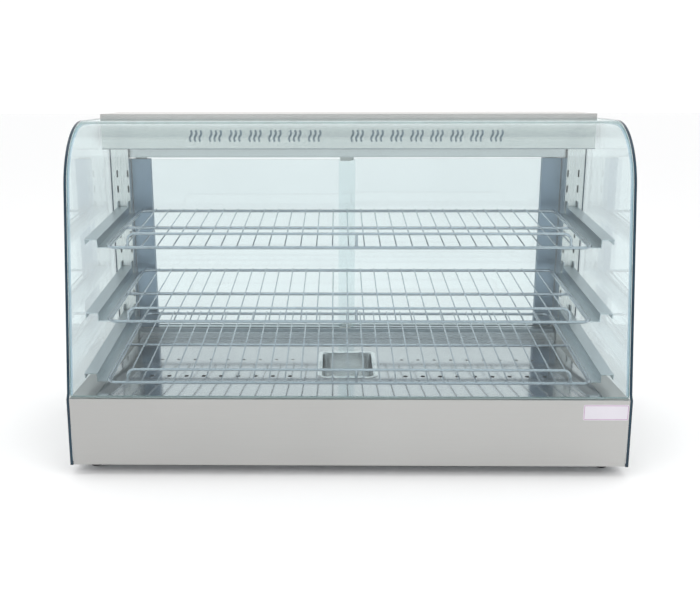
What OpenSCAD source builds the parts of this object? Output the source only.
// Countertop hot food display case: curved glass front, three tilted wire shelves,
// heated stainless base with a water pan, and two sliding glass doors at the rear.
// Millimetres. +X right, front towards -Y, +Z up, origin under the middle on the worktop.

/* [Overall] */
// Width over the two side glasses
body_w = 1000; // [800:10:1300]
// Depth from the front edge of the side glass to its rear edge
body_d = 458; // [420:1:560]
// Height of the base between its underside and the deck
base_h = 125; // [105:1:180]
// Height of the glass case above the deck
case_h = 476; // [440:1:600]
// Height of the feet
foot_h = 20; // [14:1:40]
// Distance of the front feet's centres from the front
foot_front_y = 52; // [40:1:90]
// Distance of the rear feet's centres from the rear
foot_rear_gap = 50; // [36:1:90]
// Distance of a foot's centre from the tray's side
foot_side_gap = 27; // [20:1:60]

/* [Sheet metal] */
// Thickness of the stainless sheet
sheet_t = 1.2; // [0.8:0.1:2]
// Small gap where two sheets or panes are set beside each other
fit_gap = 0.3; // [0.2:0.1:0.8]
// Radius of the screws' heads
screw_head_r = 4; // [3:0.5:5]

/* [Glass] */
// Thickness of the side and front glass
glass_t = 5; // [4:0.5:8]
// Lean of the front glass from upright
glass_lean = 10; // [6:0.5:14]
// Outer radius of the bend at the top of the front glass
bend_r = 134; // [90:1:160]
// Set-back of the front glass from the side glass's lowest front corner
glass_setback = 9; // [8:0.5:16]
// Inset of the front glass's face from the edge of the side glass
glass_inset = 1; // [0.5:0.5:3]
// Thickness of the clear seals under the front glass
seal_t = 1.5; // [1:0.1:3]
// Set-back of the side glass's front edge at the top of the base
toe_y = 4; // [2:0.5:6]
// Height of the short step between that edge and the leaning one
toe_h = 7; // [4:1:12]

/* [Top] */
// Distance of the top panel's front lip from the front
top_y = 306; // [280:1:330]
// Height of the top panel's front lip
lip_h = 17; // [12:1:25]
// Height of the top panel above the glass
top_rise = 9; // [6:1:15]
// Height of the top panel's side and rear flanges
flange_h = 13; // [10:1:15]
// Gap between the top panel and each side glass
top_side_gap = 5; // [2:1:10]
// Height of the header panel
header_h = 52; // [46:1:70]
// Height of one wave cut in the header
wave_h = 22; // [16:1:30]
// Width of the cut of a wave
wave_cut = 4; // [1.5:0.1:4.5]
// Distance between the wave groups' motifs
motif_pitch = 39.5; // [36:0.5:48]
// Distance between the three waves of one motif
wave_pitch = 9.5; // [8:0.5:12]
// Diameter of the lamp tube
lamp_d = 16; // [12:1:26]
// Length of the glass of the lamp tube
lamp_len = 820; // [500:10:1000]
// Drop of the lamp's axis below the header's top edge
lamp_drop = 12; // [12:1:30]

/* [Shelves] */
// Gap between a wire shelf and the side glass
shelf_side_gap = 52; // [48:1:70]
// Drop angle of the top, middle and bottom shelf towards the front
shelf_tilts = [5.8, 6.2, 7.4];
// Gap between each shelf's front bar and the front glass
shelf_glass_gaps = [41, 42, 30];
// Slot row that each tier's brackets hook into, counted from the top
tier_rows = [2, 6, 9];
// Diameter of a shelf's frame bar
bar_d = 6; // [5:0.5:8]
// Diameter of a shelf's cross wires
wire_d = 2.6; // [2:0.1:4]
// Distance between cross wires
wire_pitch = 28.8; // [20:0.4:40]
// Radius of a shelf's corners
shelf_corner_r = 18; // [12:1:30]
// Diameter of the guard rail
guard_d = 5; // [4:0.5:6]
// Height of the guard rail above the front bar
guard_h = 26; // [18:1:40]
// Distance of the guard rail's ends from the shelf's sides
guard_end = 40; // [30:1:80]
// Radius of the guard rail's bends
guard_bend_r = 14; // [8:1:20]
// How deep one wire sinks into another at a weld
weld = 0.5; // [0.3:0.1:0.8]

/* [Brackets and uprights] */
// Distance of the uprights' faces from the front
upright_y = 380; // [370:1:400]
// Width of an upright
upright_w = 36; // [34:1:44]
// Distance between the slots' two columns, and width of a bracket's flange
slot_cols = 22; // [20:1:26]
// Distance between slot rows
slot_pitch = 32; // [26:0.1:33]
// Height of a slot
slot_h = 14.6; // [12:0.2:18]
// Width of a slot
slot_w = 3; // [2.2:0.1:3.5]
// Drop from the top of the glass to the highest slot row
slot_top_drop = 108; // [100:1:130]
// Number of slot rows
slot_rows = 11; // [10:1:12]
// Thickness of a bracket's sheet
bracket_t = 1.5; // [1.2:0.1:2]
// Height of a bracket's web
bracket_h = 15; // [12:1:20]
// Width of the ledge under a shelf's side bar
ledge_w = 24; // [22:1:30]
// Drop of the lip on a bracket's outer edge
bracket_lip = 10; // [6:1:12]
// Drop from a slot's top edge to the shelf that hangs there
shelf_drop = 22; // [20:1:28]

/* [Doors] */
// Distance of the rear frame's front face from the front
frame_y = 390; // [384:1:410]
// Distance of the inner door's track from the front of the rear frame
track_inset = 20; // [16:1:24]
// Distance between the two doors' tracks
track_pitch = 22; // [20:1:26]
// Thickness of the doors' glass
door_glass_t = 4; // [3:0.5:6]
// Width of a door's handle profile
handle_w = 40; // [30:1:50]
// Thickness of a door's handle profile
handle_t = 14; // [12:1:16]
// Overlap of the two doors in the middle
door_overlap = 35; // [25:1:60]
// Width of a track's groove
groove_w = 8; // [7:0.5:9]
// Depth of the lower track's groove
lower_groove = 5; // [4:0.5:8]
// Depth of the upper track's groove
upper_groove = 9; // [8:0.5:14]
// Play of a glide in its groove on each side
glide_play = 0.4; // [0.2:0.1:0.8]
// Height of the clip that holds a glide on the top of a door's glass
clip_h = 5; // [4:0.5:10]
// Height of the rear sill above the deck
sill_h = 14; // [10:1:24]
// Drop of the rear top beam below the top panel
beam_h = 90; // [70:1:110]

/* [Water pan] */
// Width of the pan's opening
pan_w = 100; // [80:1:160]
// Depth of the pan's opening from front to back
pan_d = 159; // [120:1:180]
// Depth of the pan below its flange
pan_h = 60; // [40:1:75]
// Width of the pan's flange
pan_flange = 8; // [6:1:14]
// Distance of the pan's centre from the front
pan_y = 208; // [190:1:230]
// Gap between the pan and the hole that it hangs in
pan_gap = 1.5; // [1:0.5:3]

/* [Deck holes] */
// Diameter of the rear row's holes
hole_d = 7; // [4:0.5:9]
// Distance of the rear row of holes from the front
hole_row_y = 236; // [225:1:260]
// Width of the front row's vents
vent_w = 8; // [6:0.5:10]
// Length of the front row's vents from front to back
vent_l = 11; // [11:1:24]
// Distance of the front row of vents from the front
vent_row_y = 132; // [115:1:150]
// Distance of the first hole from the middle
hole_first = 110; // [100:1:130]
// Distance between holes
hole_pitch = 33; // [25:1:40]
// Number of holes on each side
hole_count = 9; // [6:1:9]

/* [Heating] */
// Diameter of the heating element's tube
element_d = 8; // [6.5:0.5:10]
// Length of a heating element
element_len = 300; // [220:10:320]
// Width between the element's two legs
element_w = 120; // [80:5:160]
// Drop of the element below the deck
element_drop = 30; // [22:1:40]

/* [Controls] */
// Distance of the thermostat from the middle
thermostat_x = 330; // [250:5:380]
// Distance between controls
control_pitch = 70; // [60:5:90]
// Diameter of the thermostat knob
knob_d = 38; // [30:1:50]
// Height of the thermostat knob
knob_h = 22; // [16:1:28]
// Gap between the knob and the rear panel
knob_gap = 2; // [1:0.5:4]
// Diameter of the thermostat's spindle
spindle_d = 6; // [5:0.5:8]
// Play around a turning spindle or pin
running_play = 0.06; // [0.03:0.01:0.1]
// Width of a rocker switch's opening
rocker_w = 14; // [12:1:20]
// Height of a rocker switch's opening
rocker_h = 24; // [20:1:30]
// Tilt of a rocker on each side of level
rocker_tilt = 9; // [6:1:12]
// Diameter of the pilot lamp's lens
pilot_d = 12; // [8:1:16]
// Diameter of the hole through the cord gland
gland_bore = 9; // [7:0.5:12]
// Thickness of the blank badge
badge_t = 0.5; // [0.3:0.1:1]

/* [Hidden] */
$fn = 64;
eps = 0.01;
// A straight stretch is this much thinner on each face than the bend that it runs into
joint_step = 0.02;
// A hook is this much thinner on each face than the web that it grows out of
hook_step = 0.2;

// Levels above the worktop
base_z = foot_h;
deck_z = foot_h + base_h;
glass_top_z = deck_z + case_h;
top_z = glass_top_z + top_rise;
top_under_z = top_z - sheet_t;
beam_z = top_under_z - beam_h;
sill_z = deck_z + sill_h;

// Widths and depths
overall_d = body_d + knob_gap + knob_h;
inner_x = body_w / 2 - glass_t;
panel_x = inner_x - fit_gap;
tray_x = panel_x - sheet_t - fit_gap;
top_x = inner_x - top_side_gap;
panel_y = 2;
rear_y = body_d - sheet_t;

// Front glass
bend_z = glass_top_z - bend_r;
bend_y = glass_setback + (bend_r + (bend_z - deck_z) * sin(glass_lean)) / cos(glass_lean);
front_glass_end = top_y - 3;
pane_y = glass_setback + (glass_inset + glass_t) / cos(glass_lean);

// Uprights, brackets and shelves
upright_x = inner_x - 3 - upright_w;
web_x = upright_x + sheet_t + 1;
slot_x = web_x + bracket_t / 2;
slot_top_z = glass_top_z - slot_top_drop;
shelf_x = body_w / 2 - shelf_side_gap - bar_d / 2 - glass_t;
shelf_rear_y = upright_y + 4;
deck_seam_x = upright_x - 4;
wire_count = floor((shelf_x - bar_d) / wire_pitch);
wire_z = (bar_d + wire_d) / 2 - weld;

// Doors
opening_x = upright_x - 1;
door_w = opening_x + door_overlap / 2;
door_travel = 2 * opening_x - door_w - 1;
lower_track_z = sill_z;
lower_track_top = lower_track_z + lower_groove + 1;
upper_track_top = beam_z + upper_groove + 3;
door_z0 = lower_track_top + 2;
door_z1 = beam_z - 4;
inner_track_y = frame_y + track_inset;
outer_track_y = inner_track_y + track_pitch;
track_w = track_pitch + groove_w + 10;

// Header and lamp
header_y = top_y + sheet_t + 1;
header_top = top_z - lip_h;
lamp_y = header_y + 32;
lamp_z = header_top - lamp_drop;

// Controls on the rear panel, as X, on one level
control_z = base_z + base_h / 2;
power_x = thermostat_x - control_pitch;
lamp_switch_x = power_x - control_pitch;
pilot_x = lamp_switch_x - control_pitch;
gland_x = -thermostat_x;
gland_z = base_z + 38;

function slot_z(row) = slot_top_z - row * slot_pitch;
function shelf_z(tier) = slot_z(tier_rows[tier]) - shelf_drop;
function pane_inner_y(z) = pane_y + (z - deck_z) * tan(glass_lean);
// Front bar's centre: where the falling shelf comes within its gap of the leaning glass
function shelf_front_y(tier) =
    let (t = tan(shelf_tilts[tier]), l = tan(glass_lean), gap = shelf_glass_gaps[tier] + bar_d / 2)
    (pane_inner_y(shelf_z(tier)) - shelf_rear_y * t * l + gap) / (1 - t * l);
function shelf_len(tier) = (shelf_rear_y - shelf_front_y(tier)) / cos(shelf_tilts[tier]);

steel = [0.75, 0.74, 0.72];
mirror_steel = [0.82, 0.82, 0.82];
wire_colour = [0.86, 0.87, 0.88];
bracket_colour = [0.6, 0.65, 0.68];
clear = [0.72, 0.86, 0.87, 0.35];
door_grey = [0.4, 0.48, 0.55];
track_grey = [0.3, 0.33, 0.36];
black = [0.08, 0.08, 0.09];
nylon = [0.9, 0.9, 0.88];

// ---- Helpers ----

// Everything is drawn with the front edge at Y = 0 and then centred over the worktop
module from_front() translate([0, -overall_d / 2, 0]) children();

// A box between two opposite corners
module slab(low, high) translate(low) cube(high - low);

// The right-hand piece, or its mirror image for the left
module on_side(side) {
    if (side < 0) mirror([1, 0, 0]) children();
    else children();
}

// A section drawn as (depth, height), extruded along X and centred
module along_x(length) rotate([90, 0, 90]) linear_extrude(length, center = true) children();

// A cylinder along X from the given point
module rod_x(start, length, d) translate(start) rotate([0, 90, 0]) cylinder(d = d, h = length);

// A cylinder along Y from the given point
module rod_y(start, length, d) translate(start) rotate([-90, 0, 0]) cylinder(d = d, h = length);

// A flat plate with round corners
module round_plate(w, d, h, r) {
    translate([-w / 2 + r, -d / 2, 0]) cube([w - 2 * r, d, h]);
    translate([-w / 2, -d / 2 + r, 0]) cube([w, d - 2 * r, h]);
    for (x = [-1, 1], y = [-1, 1])
        translate([x * (w / 2 - r), y * (d / 2 - r), 0]) cylinder(r = r, h = h);
}

// ---- Base ----

module base_tray() color(steel) from_front() {
    difference() {
        union() {
            slab([-tray_x, 22, base_z], [tray_x, rear_y - fit_gap, base_z + sheet_t]);
            slab([-tray_x, 22, base_z], [tray_x, 22 + sheet_t, base_z + 18]);
            for (side = [-1, 1])
                on_side(side)
                    slab([tray_x - sheet_t, 22, base_z], [tray_x, rear_y - fit_gap, base_z + 18]);
        }
        for (x = [-5:5], y = [0:2])
            translate([x * 60 - 12, 150 + y * 70, base_z - eps]) cube([24, 5, 2 * sheet_t]);
        for (x = [-1, 1], y = [foot_y(-1), foot_y(1)])
            translate([x * foot_x(), y, base_z - eps]) cylinder(d = 8 + 2 * fit_gap, h = 2 * sheet_t);
    }
}

module base_front_panel() color(steel) from_front() {
    slab([-panel_x, panel_y, base_z], [panel_x, panel_y + sheet_t, deck_z]);
    slab([-tray_x, panel_y, base_z], [tray_x, panel_y + 18, base_z + sheet_t]);
    slab([-tray_x, panel_y, deck_z - sheet_t], [tray_x, panel_y + 6, deck_z]);
    slab([-deck_seam_x, panel_y + 4.8, deck_z - 2 * sheet_t], [deck_seam_x, panel_y + 18, deck_z - sheet_t]);
}

module base_side_panel(side) {
    from_front() on_side(side) {
        slab([panel_x - sheet_t, panel_y + sheet_t + fit_gap, base_z],
             [panel_x, rear_y - fit_gap, deck_z]);
        slab([deck_seam_x, panel_y + 6 + fit_gap, deck_z - sheet_t], [panel_x, frame_y - fit_gap, deck_z]);
        slab([deck_seam_x - 10, panel_y + 18 + fit_gap, deck_z - 2 * sheet_t],
             [deck_seam_x + 1.2, frame_y - fit_gap, deck_z - sheet_t]);
    }
}

module base_side_panel_left() color(steel) base_side_panel(-1);
module base_side_panel_right() color(steel) base_side_panel(1);

module base_rear_panel() color(steel) from_front() {
    difference() {
        union() {
            slab([-panel_x, rear_y, base_z], [panel_x, body_d, deck_z]);
            slab([-panel_x + 2, frame_y, deck_z - sheet_t], [panel_x - 2, body_d, deck_z]);
            slab([-tray_x + 2, rear_y - 14, base_z + sheet_t + fit_gap],
                 [tray_x - 2, body_d, base_z + 2 * sheet_t + fit_gap]);
        }
        rod_y([thermostat_x, rear_y - eps, control_z], 2 * sheet_t, 10 + 2 * fit_gap);
        rod_y([pilot_x, rear_y - eps, control_z], 2 * sheet_t, pilot_d - 2 + 2 * fit_gap);
        rod_y([gland_x, rear_y - eps, gland_z], 2 * sheet_t, gland_thread_d() + 2 * fit_gap);
        for (x = [power_x, lamp_switch_x])
            slab([x - rocker_body_w() / 2 - fit_gap, rear_y - eps, control_z - rocker_body_h() / 2 - fit_gap],
                 [x + rocker_body_w() / 2 + fit_gap, body_d + eps, control_z + rocker_body_h() / 2 + fit_gap]);
        for (x = [-6:1], z = [0:4])
            slab([x * 32 - 11, rear_y - eps, control_z - 22 + z * 11],
                 [x * 32 + 11, body_d + eps, control_z - 18.5 + z * 11]);
    }
}

module deck_plate() color(mirror_steel) from_front() {
    difference() {
        slab([-deck_seam_x + fit_gap, panel_y + 6 + fit_gap, deck_z - sheet_t],
             [deck_seam_x - fit_gap, frame_y - fit_gap, deck_z]);
        translate([0, pan_y, deck_z - 2 * sheet_t])
            round_plate(pan_w + 2 * pan_gap, pan_d + 2 * pan_gap, 4 * sheet_t, 12 + pan_gap);
        for (side = [-1, 1], n = [0:hole_count - 1]) {
            x = side * (hole_first + n * hole_pitch);
            translate([x, hole_row_y, deck_z - 2 * sheet_t]) cylinder(d = hole_d, h = 4 * sheet_t);
            translate([x, vent_row_y, deck_z - 2 * sheet_t])
                round_plate(vent_w, vent_l, 4 * sheet_t, vent_w / 2 - eps);
        }
    }
}

module heat_shield() color(steel) from_front() {
    slab([-tray_x + 20, 60, shield_z()], [tray_x - 20, frame_y - 20, shield_z() + sheet_t]);
    for (x = [-tray_x + 20, tray_x - 20 - sheet_t])
        slab([x, 60, base_z + sheet_t], [x + sheet_t, frame_y - 20, shield_z() + sheet_t]);
    for (side = [-1, 1], x = [element_x() - element_len / 2 + 20, element_x() + element_len / 2 - 60])
        on_side(side)
            translate([x, pan_y - element_w / 2 - 8, shield_z() + sheet_t])
                cube([12, element_w + 16, element_z() - element_d / 2 - shield_z() - sheet_t]);
}

module heating_element(side) {
    from_front() on_side(side) {
        y0 = pan_y - element_w / 2;
        x0 = element_x() - element_len / 2;
        leg = element_len - element_w / 2;
        for (y = [y0, y0 + element_w]) rod_x([x0, y, element_z()], leg, element_d);
        translate([x0 + leg, pan_y, element_z()])
            rotate([0, 0, -90])
                rotate_extrude(angle = 180) translate([element_w / 2, 0]) circle(d = element_d);
        for (y = [y0, y0 + element_w]) rod_x([x0 - 14, y, element_z()], 14, element_d / 2);
    }
}

module heating_element_left() color([0.35, 0.33, 0.31]) heating_element(-1);
module heating_element_right() color([0.35, 0.33, 0.31]) heating_element(1);

module terminal_block() color(nylon) from_front() {
    difference() {
        slab([gland_x + 50, rear_y - 60, base_z + sheet_t], [gland_x + 122, rear_y - 36, base_z + 24]);
        for (n = [0:4])
            translate([gland_x + 60 + n * 13, rear_y - 48, base_z + 14]) cylinder(d = 6, h = 20);
    }
}

module water_pan() color(mirror_steel) from_front() {
    translate([0, pan_y, deck_z]) difference() {
        union() {
            round_plate(pan_w + 2 * pan_flange, pan_d + 2 * pan_flange, sheet_t, 12 + pan_flange);
            translate([0, 0, -pan_h]) round_plate(pan_w, pan_d, pan_h + sheet_t / 2, 12);
        }
        translate([0, 0, -pan_h + sheet_t])
            round_plate(pan_w - 2 * sheet_t, pan_d - 2 * sheet_t, pan_h + sheet_t, 12 - sheet_t);
    }
}

module foot(x, y) {
    from_front() translate([x * foot_x(), foot_y(y), 0]) {
        cylinder(d1 = 24, d2 = 26, h = 5);
        translate([0, 0, 5]) cylinder(d = 26, h = foot_h - 5);
        translate([0, 0, foot_h - eps]) cylinder(d = 8, h = 12);
    }
}

module foot_front_left() color(black) foot(-1, -1);
module foot_front_right() color(black) foot(1, -1);
module foot_rear_left() color(black) foot(-1, 1);
module foot_rear_right() color(black) foot(1, 1);

// ---- Glass case ----

// The round bend between the leaning front and the flat top, about its own centre
module bend_sector(r) {
    far = 2 * r;
    intersection() {
        circle(r = r);
        polygon([[0, 0], lean_point(far, 0), [-far, far], [0, far]]);
    }
}

// A point about the bend's centre: r out through the leaning face, then run down along its slope
function lean_point(r, run) = [
    -r * cos(glass_lean) - run * sin(glass_lean), r * sin(glass_lean) - run * cos(glass_lean)
];

// How far the slope runs down from the bend to the given height
function lean_run(r, z) = (bend_z + r * sin(glass_lean) - z) / cos(glass_lean);

module side_glass(side) {
    r = bend_r - joint_step;
    from_front() on_side(side) translate([body_w / 2 - glass_t / 2, bend_y, bend_z]) along_x(glass_t) {
        bend_sector(bend_r);
        translate([0, base_z - bend_z]) square([body_d - bend_y, glass_top_z - base_z]);
        polygon([
            [-bend_y, base_z - bend_z], [1, base_z - bend_z], [1, bend_r / 4], lean_point(r, -1),
            lean_point(r, lean_run(r, deck_z + toe_h)), [toe_y - bend_y, deck_z - 2 - bend_z]
        ]);
    }
}

module side_glass_left() color(clear) side_glass(-1);
module side_glass_right() color(clear) side_glass(1);

module front_glass() color(clear) from_front() {
    outer_r = bend_r - glass_inset;
    inner_r = outer_r - glass_t;
    run = lean_run(inner_r, deck_z + seal_t);
    translate([0, bend_y, bend_z]) along_x(2 * (inner_x - fit_gap)) {
        difference() {
            bend_sector(outer_r);
            circle(r = inner_r);
        }
        polygon([
            lean_point(outer_r - joint_step, -1), lean_point(outer_r - joint_step, run),
            lean_point(inner_r + joint_step, run), lean_point(inner_r + joint_step, -1)
        ]);
        translate([0, inner_r]) square([front_glass_end - bend_y, glass_t]);
    }
}

module glass_seals() color([0.85, 0.9, 0.9, 0.6]) from_front() {
    y0 = glass_setback + 1.5;
    slab([-inner_x + 1, y0, deck_z], [inner_x - 1, y0 + glass_t, deck_z + seal_t]);
    slab([-top_x, top_y - 14, header_top], [top_x, top_y - 4, glass_top_z - glass_inset - glass_t]);
}

// ---- Top ----

module top_panel() color(steel) from_front() {
    slab([-top_x, top_y, top_under_z], [top_x, body_d, top_z]);
    slab([-top_x, top_y, top_z - lip_h], [top_x, top_y + sheet_t, top_z]);
    slab([-top_x, body_d - sheet_t, top_z - flange_h], [top_x, body_d, top_z]);
    for (x = [-top_x, top_x - sheet_t])
        slab([x, top_y, top_z - flange_h], [x + sheet_t, body_d, top_z]);
}

// One slow wave, as two arcs that meet at its middle
module wave() {
    sweep = 40;
    r = wave_h / (4 * sin(sweep));
    for (turn = [0, 180])
        rotate(turn) translate([-r * cos(sweep), r * sin(sweep)]) intersection() {
            difference() {
                circle(r = r + wave_cut / 2);
                circle(r = r - wave_cut / 2);
            }
            polygon([[0, 0], 2 * r * [cos(sweep), -sin(sweep)], [3 * r, 0], 2 * r * [cos(sweep), sin(sweep)]]);
        }
}

module header_panel() color(steel) from_front() {
    low = header_top - header_h;
    difference() {
        slab([-top_x, header_y, low], [top_x, header_y + sheet_t, header_top]);
        for (group = [[-184, 7], [157, 8]], n = [0:group[1] - 1], wave = [-1, 0, 1]) {
            x = group[0] + (n - (group[1] - 1) / 2) * motif_pitch + wave * wave_pitch;
            translate([x, header_y - eps, low + header_h / 2])
                rotate([90, 0, 0]) translate([0, 0, -2 * sheet_t]) linear_extrude(4 * sheet_t) wave();
        }
    }
    slab([-top_x, top_y - 16, header_top - sheet_t], [top_x, header_y + sheet_t, header_top]);
    slab([-top_x, header_y, low], [top_x, header_y + 14, low + sheet_t]);
}

module lamp_reflector() color([0.93, 0.93, 0.92]) from_front() {
    x = lamp_len / 2 + 34;
    z = lamp_z + lamp_d / 2 + 8;
    slab([-x, lamp_y - 20, z], [x, lamp_y + 20, z + sheet_t]);
    slab([-x, lamp_y + 20 - sheet_t, z - 26], [x, lamp_y + 20, z + sheet_t]);
    for (side = [-1, 1])
        on_side(side) slab([x - 14, lamp_y - 20, z], [x - 14 + sheet_t, lamp_y + 20, top_under_z]);
}

module lamp_holder(side) {
    x = lamp_len / 2;
    from_front() on_side(side) difference() {
        slab([x + 1, lamp_y - 11, lamp_z - 12], [x + 17, lamp_y + 11, lamp_z + lamp_d / 2 + 8]);
        rod_x([x, lamp_y, lamp_z], 11, lamp_d + 2 * fit_gap);
    }
}

module lamp_holder_left() color([0.92, 0.92, 0.9]) lamp_holder(-1);
module lamp_holder_right() color([0.92, 0.92, 0.9]) lamp_holder(1);

module lamp_tube() color([0.97, 0.97, 0.94]) from_front() {
    x = lamp_len / 2;
    rod_x([-x, lamp_y, lamp_z], lamp_len, lamp_d - 0.4);
    for (side = [-1, 1]) on_side(side) rod_x([x - 6, lamp_y, lamp_z], 14, lamp_d);
}

module rear_top_beam() color(steel) from_front() {
    x = top_x - sheet_t - fit_gap;
    back = rear_y - fit_gap;
    slab([-x, frame_y, beam_z], [x, frame_y + sheet_t, top_under_z]);
    slab([-x, back - sheet_t, beam_z], [x, back, top_under_z]);
    slab([-x, frame_y, upper_track_top], [x, back, upper_track_top + sheet_t]);
}

// ---- Rear frame and doors ----

module track_section(height, groove) {
    centre = (inner_track_y + outer_track_y) / 2;
    difference() {
        translate([centre - track_w / 2, 0]) square([track_w, height]);
        for (y = [inner_track_y, outer_track_y])
            translate([y - groove_w / 2, height - groove]) square([groove_w, groove + 1]);
    }
}

module upper_door_track() color(track_grey) from_front()
    translate([0, 0, upper_track_top]) mirror([0, 0, 1])
        along_x(2 * opening_x) track_section(upper_track_top - beam_z, upper_groove);

module lower_door_track() color(track_grey) from_front()
    translate([0, 0, lower_track_z])
        along_x(2 * opening_x) track_section(lower_track_top - lower_track_z, lower_groove);

module rear_sill() color(steel) from_front() {
    slab([-opening_x, frame_y, deck_z], [opening_x, frame_y + sheet_t, sill_z]);
    slab([-opening_x, body_d - sheet_t, deck_z], [opening_x, body_d, sill_z]);
    slab([-opening_x, frame_y, sill_z - sheet_t], [opening_x, body_d, sill_z]);
}

module upright(side) {
    x0 = upright_x;
    x1 = upright_x + upright_w;
    high = beam_z - fit_gap;
    from_front() on_side(side) difference() {
        union() {
            slab([x0, upright_y, deck_z], [x1, upright_y + sheet_t, top_z - flange_h - fit_gap]);
            slab([x0, body_d - sheet_t, deck_z], [x1, body_d, high]);
            for (x = [x0, x1 - sheet_t]) slab([x, upright_y, deck_z], [x + sheet_t, body_d, high]);
        }
        for (row = [0:slot_rows - 1], x = [slot_x, slot_x + slot_cols])
            slab([x - slot_w / 2, upright_y - 1, slot_z(row) - slot_h],
                 [x + slot_w / 2, upright_y + sheet_t + 0.5, slot_z(row)]);
    }
}

module upright_left() color(mirror_steel) upright(-1);
module upright_right() color(mirror_steel) upright(1);

// A channel that falls with its shelf, with a hook at the rear of its web and of its lip
module bracket(tier, side) {
    drop = shelf_z(tier) - bar_d / 2 - slot_z(tier_rows[tier]);
    length = shelf_len(tier) - 12;
    lip_x = web_x + slot_cols;
    from_front() on_side(side) {
        translate([0, upright_y - 3, shelf_z(tier) - (shelf_rear_y - upright_y + 3) * tan(shelf_tilts[tier])])
            rotate([shelf_tilts[tier], 0, 0]) translate([0, -length + 7, -bar_d / 2 - 0.1]) {
                slab([web_x + bracket_t - ledge_w, 0, -bracket_t], [web_x + bracket_t, length - 8, 0]);
                slab([web_x, 0, -bracket_t], [web_x + bracket_t, length - 8, bracket_h]);
                slab([web_x, 0, bracket_h - bracket_t], [lip_x + bracket_t, length - 8, bracket_h]);
                slab([lip_x, 0, bracket_h - bracket_lip], [lip_x + bracket_t, length - 8, bracket_h]);
            }
        for (x = [web_x, lip_x]) translate([x, upright_y, slot_z(tier_rows[tier])]) {
            thick = bracket_t - hook_step;
            slab([hook_step, -14, drop + 4], [thick, -0.3, -1]);
            slab([hook_step, -1, -slot_h + 3], [thick, sheet_t + 2.5, -1]);
            slab([hook_step, sheet_t + 0.4, -slot_h - 4], [thick, sheet_t + 2.5, -1]);
        }
    }
}

module bracket_top_left() color(bracket_colour) bracket(0, -1);
module bracket_top_right() color(bracket_colour) bracket(0, 1);
module bracket_middle_left() color(bracket_colour) bracket(1, -1);
module bracket_middle_right() color(bracket_colour) bracket(1, 1);
module bracket_bottom_left() color(bracket_colour) bracket(2, -1);
module bracket_bottom_right() color(bracket_colour) bracket(2, 1);

// Puts a shelf's own flat frame, with its rear bar on the X axis, at its tier and tilt
module at_tier(tier)
    from_front() translate([0, shelf_rear_y, shelf_z(tier)]) rotate([shelf_tilts[tier], 0, 0]) children();

// A wire frame bar that runs round the shelf, with cross wires welded on top
module shelf(tier) {
    l = shelf_len(tier);
    r = shelf_corner_r;
    mid_x = shelf_x - bar_d / 2 + weld;
    at_tier(tier) {
        for (y = [0, -l]) rod_x([-shelf_x + r, y, 0], 2 * (shelf_x - r), bar_d);
        rod_x([-mid_x, -l / 2, 0], 2 * mid_x, bar_d);
        for (side = [-1, 1]) rod_y([side * shelf_x, -l + r, 0], l - 2 * r, bar_d);
        translate([shelf_x - r, -r, 0]) quarter_bend(r, bar_d, 0);
        translate([-shelf_x + r, -r, 0]) quarter_bend(r, bar_d, 90);
        translate([-shelf_x + r, -l + r, 0]) quarter_bend(r, bar_d, 180);
        translate([shelf_x - r, -l + r, 0]) quarter_bend(r, bar_d, 270);
        for (n = [-wire_count:wire_count]) rod_y([n * wire_pitch, -l - 2, wire_z], l + 5, wire_d);
    }
}

module quarter_bend(r, d, turn)
    rotate([0, 0, turn]) rotate_extrude(angle = 90) translate([r, 0]) circle(d = d);

module shelf_top() color(wire_colour) shelf(0);
module shelf_middle() color(wire_colour) shelf(1);
module shelf_bottom() color(wire_colour) shelf(2);

// A hoop along the front bar that keeps food from sliding off
module guard_rail(tier) {
    x = shelf_x - guard_end;
    r = guard_bend_r;
    top = guard_h;
    foot_z = bar_d / 2;
    at_tier(tier) translate([0, -shelf_len(tier), 0]) {
        rod_x([-x + r, 0, top], 2 * (x - r), guard_d);
        for (side = [-1, 1]) on_side(side) {
            translate([x, 0, foot_z]) cylinder(d = guard_d, h = top - r - foot_z);
            translate([x - r, 0, top - r]) rotate([90, 0, 0]) quarter_bend(r, guard_d, 0);
        }
        translate([wire_pitch / 2, 0, foot_z]) cylinder(d = guard_d, h = top - foot_z);
    }
}

module guard_rail_top() color(wire_colour) guard_rail(0);
module guard_rail_middle() color(wire_colour) guard_rail(1);
module guard_rail_bottom() color(wire_colour) guard_rail(2);

// A door's glass, handle profile and glides, drawn for the right-hand door
module door_glass(side, track_y) {
    from_front() on_side(side)
        slab([opening_x - door_w, track_y - door_glass_t / 2, door_z0],
             [opening_x - handle_w + 10, track_y + door_glass_t / 2, door_z1 - 2]);
}

module door_handle(side, track_y) {
    x1 = opening_x;
    x0 = x1 - handle_w;
    y0 = track_y - handle_t / 2;
    from_front() on_side(side) difference() {
        slab([x0, y0, door_z0], [x1, y0 + handle_t, door_z1]);
        slab([x0 - 1, track_y - door_glass_t / 2 - fit_gap, door_z0 - 1],
             [x0 + 10 + fit_gap, track_y + door_glass_t / 2 + fit_gap, door_z1 + 1]);
        slab([x0 + 16, y0 + handle_t - 6, door_z0 + 40], [x1 - 6, y0 + handle_t + 1, door_z1 - 40]);
    }
}

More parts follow.
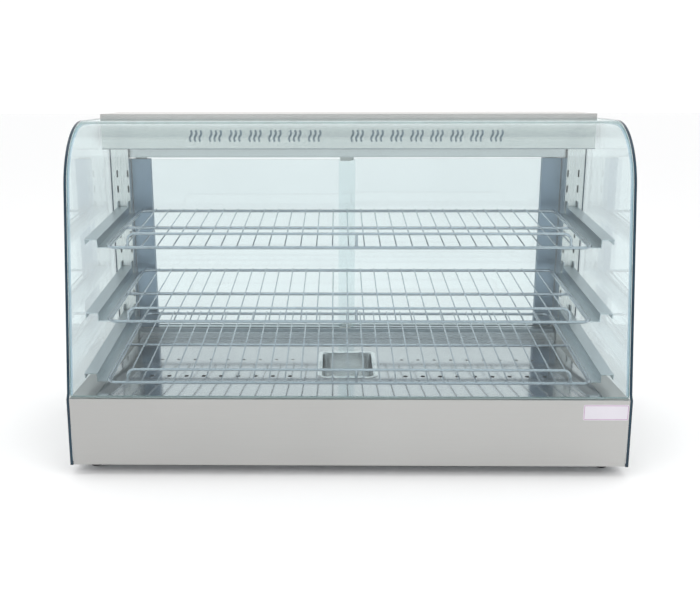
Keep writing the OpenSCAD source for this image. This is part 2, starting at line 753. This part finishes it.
module door_glides(side, track_y) {
    w = groove_w - 2 * glide_play;
    low = lower_track_top - lower_groove + 0.3;
    high = beam_z + upper_groove - 1;
    from_front() on_side(side)
        for (x = [opening_x - door_w + 8, opening_x - 32]) {
            slab([x, track_y - w / 2, low], [x + 24, track_y + w / 2, door_z0]);
            slab([x, track_y - w / 2, door_z1], [x + 24, track_y + w / 2, high]);
            if (x < opening_x - door_w + 9)
                difference() {
                    slab([x, track_y - w / 2, door_z1 - clip_h], [x + 24, track_y + w / 2, door_z1]);
                    slab([x - 1, track_y - door_glass_t / 2, door_z1 - clip_h - 1],
                         [x + 25, track_y + door_glass_t / 2, door_z1 - 2]);
                }
        }
}

module door_left_glass() color(clear) door_glass(-1, inner_track_y);
module door_left_handle() color(door_grey) door_handle(-1, inner_track_y);
module door_left_glides() color(nylon) door_glides(-1, inner_track_y);
module door_right_glass() color(clear) door_glass(1, outer_track_y);
module door_right_handle() color(door_grey) door_handle(1, outer_track_y);
module door_right_glides() color(nylon) door_glides(1, outer_track_y);

// ---- Controls ----

module thermostat_body() color([0.75, 0.75, 0.7]) from_front() {
    x = thermostat_x;
    difference() {
        union() {
            slab([x - 17, rear_y - 32, control_z - 20], [x + 17, rear_y - 1, control_z + 20]);
            rod_y([x, rear_y - 1 - eps, control_z], sheet_t + 1 + eps, 10);
        }
        rod_y([x, rear_y - 20, control_z], 30, spindle_d + 2 * running_play);
    }
}

module thermostat_spindle() color(steel) from_front()
    rod_y([thermostat_x, rear_y - 19, control_z], 19 + sheet_t + knob_gap + knob_h - 8, spindle_d);

module thermostat_knob() color(black) from_front()
    translate([thermostat_x, body_d + knob_gap, control_z]) rotate([-90, 0, 0]) difference() {
        union() {
            cylinder(d = knob_d, h = 4);
            translate([0, 0, 4 - eps]) cylinder(d1 = knob_d - 6, d2 = knob_d - 10, h = knob_h - 4 + eps);
        }
        translate([0, 0, -1]) cylinder(d = spindle_d, h = knob_h - 7);
        for (n = [0:11]) rotate(n * 30)
            translate([knob_d / 2 - 3.2, 0, 5]) cylinder(d = 3, h = knob_h);
    }

// A snap-in switch: a housing with a flange, and a rocker on two stub pins
module switch_housing(x) {
    w = rocker_body_w();
    h = rocker_body_h();
    from_front() translate([x, body_d, control_z]) difference() {
        union() {
            slab([-w / 2, -24, -h / 2], [w / 2, 0, h / 2]);
            slab([-w / 2 - 2, 0, -h / 2 - 2], [w / 2 + 2, 2.5, h / 2 + 2]);
        }
        slab([-rocker_w / 2, -12, -rocker_h / 2], [rocker_w / 2, 3, rocker_h / 2]);
        rod_x([-rocker_w / 2 - 2, -3, 0], rocker_w + 4, rocker_pin_d() + 2 * running_play);
    }
}

module switch_rocker(x) {
    w = rocker_w - 1;
    from_front() translate([x, body_d - 3, control_z]) rotate([rocker_tilt, 0, 0]) {
        difference() {
            slab([-w / 2, -3, -rocker_h / 2 + 1], [w / 2, 6, rocker_h / 2 - 1]);
            for (side = [-1, 1])
                translate([-w, 6, 0]) rotate([side * 10, 0, 0])
                    translate([0, 0, side > 0 ? 0 : -rocker_h]) cube([2 * w, 10, rocker_h]);
        }
        rod_x([-rocker_w / 2 - 1.6, 0, 0], rocker_w + 3.2, rocker_pin_d());
    }
}

module power_switch_housing() color(black) switch_housing(power_x);
module power_switch_rocker() color([0.75, 0.1, 0.08]) switch_rocker(power_x);
module lamp_switch_housing() color(black) switch_housing(lamp_switch_x);
module lamp_switch_rocker() color(black) switch_rocker(lamp_switch_x);

module pilot_lamp() color([0.95, 0.45, 0.1]) from_front() translate([pilot_x, body_d, control_z])
    rotate([-90, 0, 0]) {
        translate([0, 0, -22]) cylinder(d = pilot_d - 2, h = 22);
        cylinder(d = pilot_d + 3, h = 1.5);
        translate([0, 0, 1.5]) cylinder(d1 = pilot_d, d2 = pilot_d - 3, h = 4);
    }

module cord_gland() color(black) from_front() translate([gland_x, body_d, gland_z])
    rotate([-90, 0, 0]) difference() {
        union() {
            translate([0, 0, -12]) cylinder(d = gland_thread_d(), h = 12);
            translate([0, 0, -8]) cylinder(d = gland_thread_d() + 8, h = 8 - sheet_t, $fn = 6);
            cylinder(d = gland_thread_d() + 8, h = 5, $fn = 6);
            translate([0, 0, 5]) cylinder(d1 = gland_thread_d() + 4, d2 = gland_thread_d(), h = 9);
        }
        translate([0, 0, -13]) cylinder(d = gland_bore, h = 30);
    }

module badge_plate() color([0.95, 0.94, 0.95]) from_front()
    slab([panel_x - 81, panel_y - badge_t, base_z + 88], [panel_x - 1, panel_y, base_z + 117]);

// Pan-head screws in the top panel's rear flange and the rear panel's corners
module panel_screws() color(mirror_steel) from_front() {
    for (x = [-3:3]) screw_head(x * (top_x - 30) / 3, top_z - 7);
    for (x = [-1, 1], z = [base_z + 12, deck_z - 12]) screw_head(x * (panel_x - 14), z);
}

module screw_head(x, z) translate([x, body_d, z]) rotate([-90, 0, 0]) {
    cylinder(r = screw_head_r, h = 1.2);
    translate([0, 0, 1.2]) cylinder(r1 = screw_head_r, r2 = screw_head_r - 1.5, h = 1);
}

function foot_x() = tray_x - foot_side_gap;
function foot_y(end) = end < 0 ? foot_front_y : body_d - foot_rear_gap;
function element_x() = pan_w / 2 + 40 + element_len / 2;
function element_z() = deck_z - sheet_t - element_drop;
function shield_z() = deck_z - pan_h - 12;
function gland_thread_d() = gland_bore + 7;
function rocker_body_w() = rocker_w + 6;
function rocker_body_h() = rocker_h + 6;
function rocker_pin_d() = 3;

base_tray();
base_front_panel();
base_side_panel_left();
base_side_panel_right();
base_rear_panel();
deck_plate();
heat_shield();
heating_element_left();
heating_element_right();
terminal_block();
water_pan();
foot_front_left();
foot_front_right();
foot_rear_left();
foot_rear_right();
side_glass_left();
side_glass_right();
front_glass();
glass_seals();
top_panel();
header_panel();
lamp_reflector();
lamp_holder_left();
lamp_holder_right();
lamp_tube();
rear_top_beam();
upper_door_track();
rear_sill();
lower_door_track();
upright_left();
upright_right();
bracket_top_left();
bracket_top_right();
bracket_middle_left();
bracket_middle_right();
bracket_bottom_left();
bracket_bottom_right();
shelf_top();
shelf_middle();
shelf_bottom();
guard_rail_top();
guard_rail_middle();
guard_rail_bottom();
door_left_glass();
door_left_handle();
door_left_glides();
door_right_glass();
door_right_handle();
door_right_glides();
thermostat_body();
thermostat_spindle();
thermostat_knob();
power_switch_housing();
power_switch_rocker();
lamp_switch_housing();
lamp_switch_rocker();
pilot_lamp();
cord_gland();
badge_plate();
panel_screws();
